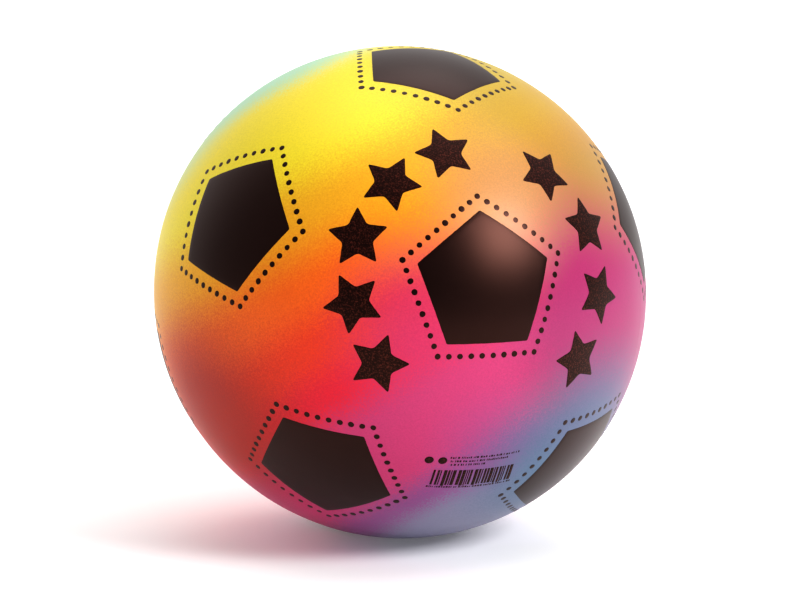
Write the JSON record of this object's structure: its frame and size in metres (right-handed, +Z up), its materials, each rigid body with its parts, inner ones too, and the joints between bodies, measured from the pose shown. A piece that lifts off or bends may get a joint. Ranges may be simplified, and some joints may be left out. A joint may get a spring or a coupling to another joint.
{
  "type": "inflatable play football",
  "caption": "Light hollow play ball of moulded plastic, rainbow sprayed, with printed pentagons and a needle valve for inflation.",
  "frame": {"origin": "centre of the ball", "axes": "+Z up as the ball is shown, +Y out through the valve at the back, +X to the right of someone who looks along +Y"},
  "size_m": [0.2292, 0.2294, 0.2298],
  "materials": {
    "ball_shell": "satin, airbrushed in rainbow bands",
    "valve_housing": "moulded soft PVC",
    "valve_core": "moulded",
    "print": "satin printed ink"
  },
  "bodies": {
    "root": {"ball_shell": "ball_shell", "valve_housing": "valve_housing", "valve_core": "valve_core", "print_pentagon_01": "print", "print_pentagon_02": "print", "print_pentagon_03": "print", "print_pentagon_04": "print", "print_pentagon_05": "print", "print_pentagon_06": "print", "print_pentagon_07": "print", "print_pentagon_08": "print", "print_pentagon_09": "print", "print_pentagon_10": "print", "print_pentagon_11": "print", "print_pentagon_12": "print"}
  },
  "joints": []
}
